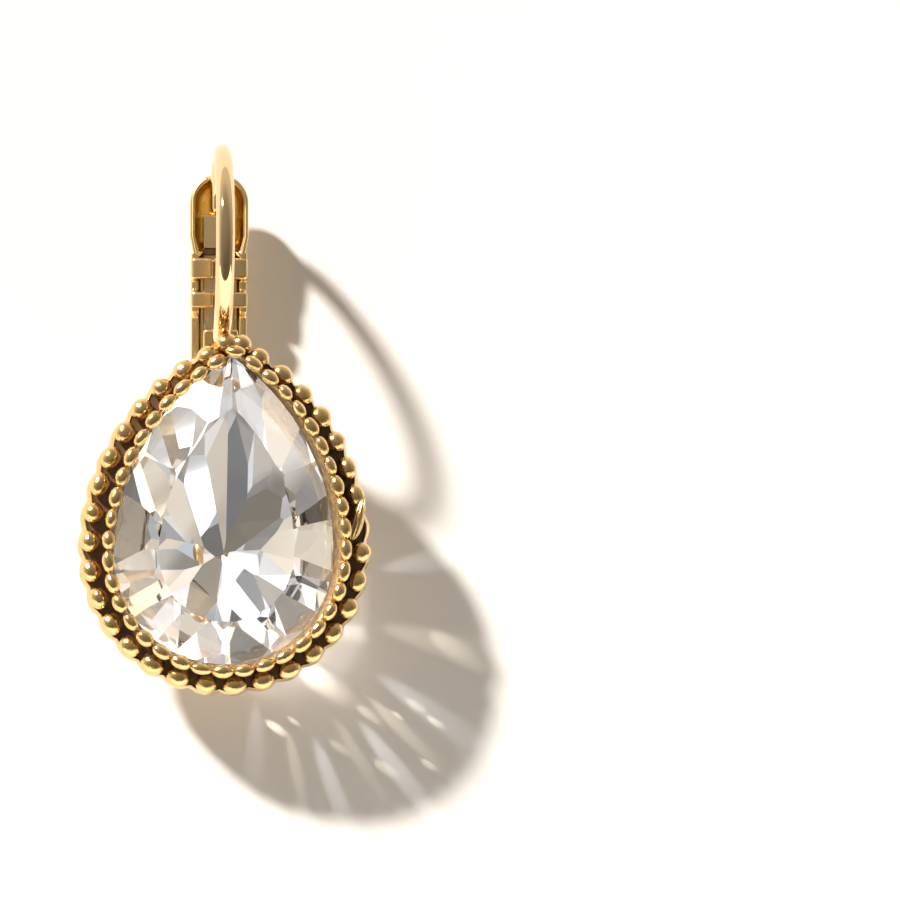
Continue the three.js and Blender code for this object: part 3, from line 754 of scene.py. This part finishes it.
girdle_front, girdle_back = GIRDLE_FORWARD + GIRDLE_HALF, GIRDLE_FORWARD - GIRDLE_HALF
table_forward = girdle_front + CROWN_HEIGHT
star_forward = table_forward - CROWN_HEIGHT / tan(radians(CROWN_SLOPE)) * tan(radians(STAR_SLOPE))
facet_chance = np.random.default_rng(5)
stone_planes = [(np.array([0.0, -1.0, 0.0]), table_forward)]
for k in range(GIRDLE_FACETS):
    stone_planes.append(facet_plane((k + 0.5) / GIRDLE_FACETS, GIRDLE_FORWARD, pi / 2, True))
for k in range(MAINS):
    main = (k + 0.5) / MAINS
    stone_planes.append(facet_plane(main, girdle_front, radians(CROWN_SLOPE), True))
    stone_planes.append(facet_plane(k / MAINS, star_forward, radians(STAR_SLOPE), True))
    for side in (-1, 1):
        half = main + side / (4 * MAINS)
        stone_planes.append(facet_plane(half, girdle_front, radians(CROWN_HALF_SLOPE), True))
for share, steeper, deeper in PAVILION_TIERS:
    for k in range(PAVILION_MAINS):
        place = (k + share) / PAVILION_MAINS
        slope = culet_slope(place) + radians(steeper + facet_chance.uniform(-UNEVEN, UNEVEN))
        start = girdle_back - deeper * tan(culet_slope(place))
        direction, distance = facet_plane(place, start, slope, False)
        stone_planes.append((direction, distance - deeper * hypot(direction[0], direction[2])))
stone_corners, stone_faces = trimmed_faces(stone_planes)
stone = piece_from("pear_stone", hung(stone_corners), stone_faces, smooth=False)


def facet_attribute(label, kind, values):
    """Stores one value or colour for each facet."""
    data = stone.data.attributes.new(label, kind, "FACE").data
    data.foreach_set("value" if kind == "FLOAT" else "color", np.asarray(values, np.float32).ravel())


facets = len(stone_faces)
facet_middles = np.array([stone_corners[face].mean(axis=0) for face in stone_faces])
behind = facet_middles[:, 1] > -girdle_front
# Each facet takes a painted sparkle colour at random.
painted_sparkle = np.ones((facets, 4))
painted_sparkle[:, :3] = np.array(PAINTED_FACET_SPARKLE)[facet_chance.choice(len(PAINTED_FACET_SPARKLE), facets, p=PAINTED_SPARKLE_SHARES)]
facet_attribute("thrown_back", "FLOAT", behind * facet_chance.choice(THROWN_BACK, facets))
facet_attribute("painted_sparkle", "FLOAT_COLOR", painted_sparkle)
from_culet = np.hypot(facet_middles[:, 0] - STONE_ASIDE, facet_middles[:, 2])
eased_share = np.interp(from_culet, EASED_FROM, EASED_BY) * facet_chance.uniform(*EASED_UNEVEN, facets)
facet_attribute("eased", "FLOAT", eased_share)
light_through = facet_chance.choice(LIGHT_THROUGH, facets, p=LIGHT_THROUGH_SHARES)
facet_attribute("light_through", "FLOAT", light_through)

crystal = bpy.data.materials.new("clear_crystal")
crystal.use_nodes = True
crystal_tree = crystal.node_tree
glass = set_inputs(
    crystal_tree.nodes["Principled BSDF"],
    {"Base Color": (0.99, 0.99, 0.99, 1), "Roughness": 0.0, "IOR": CRYSTAL_IOR, "Transmission Weight": 1.0},
)


def face_value(label, output="Fac"):
    """Reads a value, colour or vector that each facet holds."""
    return add_node(crystal_tree, "Attribute", attribute_name=label).outputs[output]


def shader_mix(share, one, other):
    """One shader, or the other where the share is 1."""
    return add_node(crystal_tree, "MixShader", {"Fac": share, 1: one, 2: other}).outputs["Shader"]


# Behind the girdle, light that comes from within the stone is thrown back to the front. The facets near
# the edge count as less steep than they are, so they show the room and not the beads.
side_seen = add_node(crystal_tree, "NewGeometry").outputs
turned_to_front = {0: face_value("eased", "Vector"), 1: (0, -1, 0), 2: side_seen["Normal"]}
eased = add_node(crystal_tree, "VectorMath", turned_to_front, operation="MULTIPLY_ADD").outputs["Vector"]
eased = add_node(crystal_tree, "VectorMath", {0: eased}, operation="NORMALIZE").outputs["Vector"]
# The mirror's colour is the facet's painted sparkle, which makes its reflection brighter, warmer, cooler or
# darker.
mirror = {"Color": face_value("painted_sparkle", "Color"), "Roughness": THROWN_BACK_ROUGH, "Normal": eased}
from_within = {0: side_seen["Backfacing"], 1: face_value("thrown_back")}
way = shader_mix(
    side_seen["Backfacing"],
    glass.outputs["BSDF"],
    add_node(crystal_tree, "BsdfGlass", {"IOR": LEAVING_IOR}).outputs["BSDF"],
)
body = shader_mix(
    add_node(crystal_tree, "Math", from_within, operation="MULTIPLY").outputs[0],
    way,
    add_node(crystal_tree, "BsdfGlossy", mirror).outputs["BSDF"],
)
whole = shader_mix(
    add_node(crystal_tree, "LightPath").outputs["Is Shadow Ray"],
    body,
    add_node(crystal_tree, "BsdfTransparent", {"Color": face_value("light_through")}).outputs["BSDF"],
)
set_inputs(crystal_tree.nodes["Material Output"], {"Surface": whole})
stone.data.materials.append(crystal)
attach(stone, "earring")
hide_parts("pear_stone")


# THE EAR WIRE
# A round gold wire, polished. From its tip behind the ear it arches over, bulges forward and sweeps
# back under the setting's tip into the boss.
WIRE_RADIUS = 0.55
WIRE_QUARTERS = [
    ((0.0, -2.75), (3.3, 0), (0, 3.3)),
    ((0.0, -4.9), (0, 5.45), (-5.8, 0)),
    ((1.6, -4.9), (-7.4, 0), (0, -5.95)),
]
WIRE_STEPS, WIRE_ROUND = 70, 40
WIRE_TIP_ROUND = 0.3


def ear_wire_line(steps):
    """The wire's centreline in the side view: three quarter ellipses, each from one half axis to the
    next as centre + first axis times the cosine + second axis times the sine."""
    points = []
    for centre, first, second in np.array(WIRE_QUARTERS):
        turn = np.linspace(0, pi / 2, steps, endpoint=False)[:, None]
        points.append(centre + np.cos(turn) * first + np.sin(turn) * second)
    return np.concatenate([*points, [centre + second]])


line = ear_wire_line(WIRE_STEPS)
direction = np.gradient(line, axis=0)
direction /= np.linalg.norm(direction, axis=1, keepdims=True)
along_line = np.concatenate([[0], np.cumsum(np.linalg.norm(np.diff(line, axis=0), axis=1))])
tip_rows = np.linspace(0, pi / 2, 8)[:-1]
beyond_tip = along_line[along_line > WIRE_TIP_ROUND * 1.05]
ring_along = np.concatenate([WIRE_TIP_ROUND * (1 - np.cos(tip_rows)), beyond_tip])
tip_radii = WIRE_RADIUS - WIRE_TIP_ROUND * (1 - np.sin(tip_rows))
ring_radius = np.concatenate([tip_radii, np.full(len(beyond_tip), WIRE_RADIUS)])[:, None]
ring_y, ring_z = (np.interp(ring_along, along_line, line[:, k])[:, None] for k in (0, 1))
ring_dy, ring_dz = (np.interp(ring_along, along_line, direction[:, k])[:, None] for k in (0, 1))
wire_turn = np.arange(WIRE_ROUND) * 2 * pi / WIRE_ROUND
wire_points = np.stack([
    ring_radius * np.sin(wire_turn),
    ring_y - ring_radius * np.cos(wire_turn) * ring_dz,
    ring_z + ring_radius * np.cos(wire_turn) * ring_dy,
], axis=-1)
wire = piece_from("ear_wire", wire_points, tube_faces(len(ring_along), WIRE_ROUND))
POLISHED_GOLD = metal_material("polished_gold", (0.94, 0.68, 0.36), (0.3, 0.17, 0.06), 0.95, bump=0.0003)
wire.data.materials.append(POLISHED_GOLD)
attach(wire, "earring")
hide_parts("ear_wire")


# THE HINGE PIN
# A rivet through the lever's cheeks and the knuckle, turned with a low domed head at each end.
PIN_RADIUS, HEAD_RADIUS, HEAD_HEIGHT, PIN_HALF = 0.4, 0.62, 0.22, 1.75


def turned(name, profile, sides=40):
    """A body turned about the rivet's axis from its profile of places along it and radii."""
    place, reach = np.array(profile).T
    turn = np.arange(sides) * 2 * pi / sides
    points = np.stack([
        np.broadcast_to(place[:, None], (len(place), sides)),
        PIN_Y + reach[:, None] * np.cos(turn),
        PIN_Z + reach[:, None] * np.sin(turn),
    ], axis=-1)
    return piece_from(name, points, tube_faces(len(place), sides))


dome = np.linspace(0.1, pi / 2, 7)
half_profile = [(PIN_HALF + HEAD_HEIGHT * cos(t), HEAD_RADIUS * sin(t)) for t in dome]
half_profile += [(PIN_HALF, HEAD_RADIUS), (PIN_HALF, PIN_RADIUS)]
pin = turned("hinge_pin", [(-x, r) for x, r in half_profile] + half_profile[::-1])
pin.data.materials.append(POLISHED_GOLD)
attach(pin, "earring")
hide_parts("hinge_pin")


# THE LEVER'S CHANNEL
# One gold sheet: a back plate with a cheek folded forward at each side. The cheeks run on down to
# rounded feet on the rivet, and step back between the bands.
LEVER_HALF, LEVER_SHEET = 1.7, 0.5
LEVER_FRONT, LEVER_BACK, CHANNEL_FLOOR = 3.0, 4.4, 4.0
CHANNEL_TOP, CHANNEL_END = -5.1, -11.4
LEG_FRONT, LEG_TOP, LEG_SLOPE, FOOT_RADIUS = 3.4, -8.8, 0.3, 0.85
GAP_FRONT, GAP_TOP, GAP_LOW, GAP_SLOPE = 3.5, -6.82, -7.53, 0.05
SHEET_ROUNDING = 0.16
LEVER_GOLD = metal_material("lever_gold", (0.93, 0.67, 0.3), (0.16, 0.085, 0.03), 0.74, 900.0, 0.01)

side_profile = [
    (LEVER_FRONT, CHANNEL_TOP),
    (LEVER_FRONT, GAP_TOP),
    (GAP_FRONT, GAP_TOP - GAP_SLOPE),
    (GAP_FRONT, GAP_LOW + GAP_SLOPE),
    (LEVER_FRONT, GAP_LOW),
    (LEVER_FRONT, LEG_TOP),
    (LEG_FRONT, LEG_TOP - LEG_SLOPE),
    (LEG_FRONT, PIN_Z + FOOT_RADIUS),
    *arc(PIN_Y, PIN_Z, FOOT_RADIUS, 112, 360, 30),
    (LEVER_BACK, CHANNEL_END),
]
# A cheek's outer face has one more corner at the back, and its inner face has two on the floor.
edge_count = len(side_profile)
outer_corners = [*side_profile, (LEVER_BACK, CHANNEL_TOP)]
inner_corners = [*side_profile, (CHANNEL_FLOOR, CHANNEL_END), (CHANNEL_FLOOR, CHANNEL_TOP)]
channel_points, channel_faces, cheek_starts = [], [], []
for side in (-1, 1):
    outer_start = len(channel_points)
    channel_points += [(side * LEVER_HALF, y, z) for y, z in outer_corners]
    inner_start = len(channel_points)
    channel_points += [(side * (LEVER_HALF - LEVER_SHEET), y, z) for y, z in inner_corners]
    cheek_starts += [outer_start, inner_start]
    cheek_faces = [list(range(outer_start, inner_start)), list(range(inner_start, len(channel_points)))[::-1]]
    cheek_faces += [
        [outer_start + k, inner_start + k, inner_start + k + 1, outer_start + k + 1]
        for k in range(edge_count - 1)
    ]
    channel_faces += cheek_faces if side < 0 else [face[::-1] for face in cheek_faces]
lo, li, ro, ri = cheek_starts
plate_low, floor_low, floor_top = edge_count - 1, edge_count, edge_count + 1
channel_faces += [
    [lo + plate_low, li + plate_low, ri + plate_low, ro + plate_low, ro + edge_count, lo + edge_count],
    [li + plate_low, li + floor_low, ri + floor_low, ri + plate_low],
    [li + floor_low, li + floor_top, ri + floor_top, ri + floor_low],
    [lo, lo + edge_count, ro + edge_count, ro, ri, ri + floor_top, li + floor_top, li],
]
channel = soften(piece_from("lever_channel", channel_points, channel_faces), SHEET_ROUNDING, 5)
channel.data.materials.append(LEVER_GOLD)
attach(channel, "lever")
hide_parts("lever")


# THE KEEPER BANDS
# Tabs folded round from both cheeks over the spring leaf, where they meet in a narrow seam. A
# narrow lip of the spoon's foot stands above them. It is coloured nearly black, as painted shade of the
# gap between the spoon and the upper band.
BAND_THICK, BAND_PROUD, BAND_FRONT = 0.45, 0.05, LEVER_FRONT - 0.08
UPPER_BAND, LOWER_BAND, FOOT_LIP = (-6.8, -5.5), (-8.57, -7.55), (-5.32, -4.97)
SEAM_LEFT, SEAM_RIGHT = -0.34, -0.31
BEND_RADIUS, BAND_ROUNDING = 0.3, 0.22
LIP_HALF, LIP_FRONT, LIP_BACK, LIP_ROUNDING = 1.25, 3.2, 3.5, 0.04


def band(name, heights):
    """Two tabs, each with its outer corner bent round, from the cheek to the seam."""
    back = LEVER_FRONT + BAND_THICK
    for side, seam, label in ((-1, SEAM_LEFT, "left"), (1, SEAM_RIGHT, "right")):
        edge = side * (LEVER_HALF + BAND_PROUD)
        outline = [(edge, back)]
        for t in np.radians(np.linspace(0, 90, 7)):
            bent_in, bent_back = BEND_RADIUS * (1 - cos(t)), BEND_RADIUS * (1 - sin(t))
            outline.append((edge - side * bent_in, BAND_FRONT + bent_back))
        outline += [(seam, BAND_FRONT), (seam, back)]
        order = outline if side < 0 else outline[::-1]
        tab = slab(f"{name}_{label}", order, lambda x, y, k: (x, y, heights[k]), BAND_ROUNDING, 6)
        tab.data.materials.append(LEVER_GOLD)
        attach(tab, "lever")


band("upper_band", UPPER_BAND)
band("lower_band", LOWER_BAND)
lip = slab(
    "foot_lip",
    rectangle(-LIP_HALF, LIP_HALF, LIP_FRONT, LIP_BACK),
    lambda x, y, k: (x, y, FOOT_LIP[k]),
    LIP_ROUNDING,
)
# Painted shade: the lip is nearly black, for the shadow in the gap under the spoon.
lip.data.materials.append(metal_material("painted_slot_shade", (0.1, 0.055, 0.02), (0.02, 0.01, 0.005), 0.5))
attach(lip, "lever")


# THE SPOON
# The lever's pressed end: a bowl open to the front, with a round top, a rounded back edge and a
# notch in its top rim that lets the wire's tip in. Its inside has a deeper, more orange gold and
# coarser dents than its outside.
SPOON_HALF, SPOON_FOOT_HALF = 1.78, 1.55
SPOON_ROUND_Z, SPOON_SHOULDER, SPOON_BOTTOM = -2.15, -4.2, -5.45
SPOON_BACK, SPOON_FLOOR = 4.5, 4.1
SPOON_WALL, SPOON_CORNER, CAVITY_CORNER, RIM_ROUND = 0.34, 0.5, 0.4, 0.17
NOTCH_HALF, NOTCH_Y = (0.57, 0.77), 3.5
FOOT_HALF, FOOT_Y = (1.1, 1.2), CHANNEL_FLOOR - 0.05
SPOON_MIDDLE, MIDDLE_INSET = np.array([0.0, -2.9]), 0.6
INSIDE_ROW = 20


def spoon_outline(inset):
    """The spoon's outline seen from the front, a distance inside its edge: a half circle on top,
    straight sides, drawn-in sides and a foot. Every inset has its columns at the same shares."""
    half, foot, base = SPOON_HALF - inset, SPOON_FOOT_HALF - inset, SPOON_BOTTOM + inset
    turn = np.linspace(0, pi, 72, endpoint=False)
    parts = [np.stack([half * np.cos(turn), SPOON_ROUND_Z + half * np.sin(turn)], 1)]
    left = [(-half, SPOON_ROUND_Z), (-half, SPOON_SHOULDER), (-foot, base)]
    corners = np.array(left + [(-x, z) for x, z in left[::-1]])
    for here, there, steps in zip(corners, corners[1:], (10, 8, 40, 8, 10)):
        t = np.linspace(0, 1, steps, endpoint=False)[:, None]
        parts.append(here * (1 - t) + there * t)
    return np.concatenate(parts)


spoon_edge = spoon_outline(0)


def rim_step(columns, depth, within):
    """How far the rim steps back on some columns: down to a depth in the middle, and smoothly back
    to nothing between two distances from it."""
    share = np.clip((np.abs(spoon_edge[:, 0]) - within[0]) / (within[1] - within[0]), 0, 1)
    return columns * (depth - LEVER_FRONT) * (1 - share * share * (3 - 2 * share))


def spoon_row(outline, depth):
    """One row of points: an outline seen from the front, at one depth or at each column's own."""
    depths = np.minimum(depth + np.zeros(len(outline)), SPOON_BACK)
    return np.stack([outline[:, 0], depths, outline[:, 1]], 1)


def middle_row(share, depth):
    """A row on a flat of the spoon, drawn in towards its middle."""
    return spoon_row(SPOON_MIDDLE + (spoon_outline(MIDDLE_INSET) - SPOON_MIDDLE) * share, depth)


rim_y = LEVER_FRONT + rim_step(spoon_edge[:, 1] > SPOON_ROUND_Z, NOTCH_Y, NOTCH_HALF)
rim_y = rim_y + rim_step(spoon_edge[:, 1] < SPOON_BOTTOM + 0.01, FOOT_Y, FOOT_HALF)
# The rows go from the middle of the back over four rounded corners to the middle of the floor.
back_edge, outer_rim, inner_rim, floor_edge = [], [], [], []
for t in np.linspace(0, pi / 2, 7):
    falling, rising = 1 - sin(t), 1 - cos(t)
    back_edge.append(spoon_row(spoon_outline(SPOON_CORNER * falling), SPOON_BACK - SPOON_CORNER * rising))
    outer_rim.append(spoon_row(spoon_outline(RIM_ROUND * rising), rim_y + RIM_ROUND * falling))
    inner_rim.append(spoon_row(spoon_outline(SPOON_WALL - RIM_ROUND * falling), rim_y + RIM_ROUND * rising))
    floor_inset = SPOON_WALL + CAVITY_CORNER * rising
    floor_edge.append(spoon_row(spoon_outline(floor_inset), SPOON_FLOOR - CAVITY_CORNER * falling))
back_rows = [middle_row(share, SPOON_BACK) for share in (0.02, 0.5)]
floor_rows = [middle_row(share, SPOON_FLOOR) for share in (0.6, 0.02)]
spoon_rows = [*back_rows, *back_edge, *outer_rim, *inner_rim, *floor_edge, *floor_rows]
spoon_faces = tube_faces(len(spoon_rows), len(spoon_edge))
spoon = piece_from("spoon", np.concatenate(spoon_rows), spoon_faces)
spoon.data.materials.append(LEVER_GOLD)
INNER_GOLD = metal_material("spoon_inside", (0.95, 0.62, 0.13), (0.5, 0.28, 0.04), 0.74, 1700.0, 0.1)
spoon.data.materials.append(INNER_GOLD)
is_inside = np.arange(len(spoon_faces)) >= INSIDE_ROW * len(spoon_edge)
# The last but one face closes the back.
is_inside[-2] = False
spoon.data.polygons.foreach_set("material_index", is_inside.astype(np.int32))
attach(spoon, "lever")


# THE SPRING LEAF
# A strip of paler spring metal inside the channel, held by the bands. Its upper end steps forward
# into the spoon and stops the wire's tip.
STRIP_HALF, STRIP_ROUNDING = 0.93, 0.05
STRIP_FRONT, STRIP_BACK, STOP_FRONT = 3.55, 3.9, 3.15
STRIP_TOP, STOP_BOTTOM, STRIP_BOTTOM = -2.91, -4.9, -11.75
strip_outline = [
    (STOP_FRONT, STRIP_TOP),
    (STRIP_BACK, STRIP_TOP),
    (STRIP_BACK, STRIP_BOTTOM),
    (STRIP_FRONT, STRIP_BOTTOM),
    (STRIP_FRONT, STOP_BOTTOM),
    (STOP_FRONT, STOP_BOTTOM),
]
strip = slab(
    "spring_leaf", strip_outline, lambda y, z, side: ((side * 2 - 1) * STRIP_HALF, y, z), STRIP_ROUNDING
)
SPRING_METAL = metal_material("spring_metal", (0.62, 0.51, 0.31), (0.2, 0.16, 0.1), 0.68, 900.0, 0.008)
strip.data.materials.append(SPRING_METAL)
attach(strip, "lever")
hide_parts("spring_leaf")
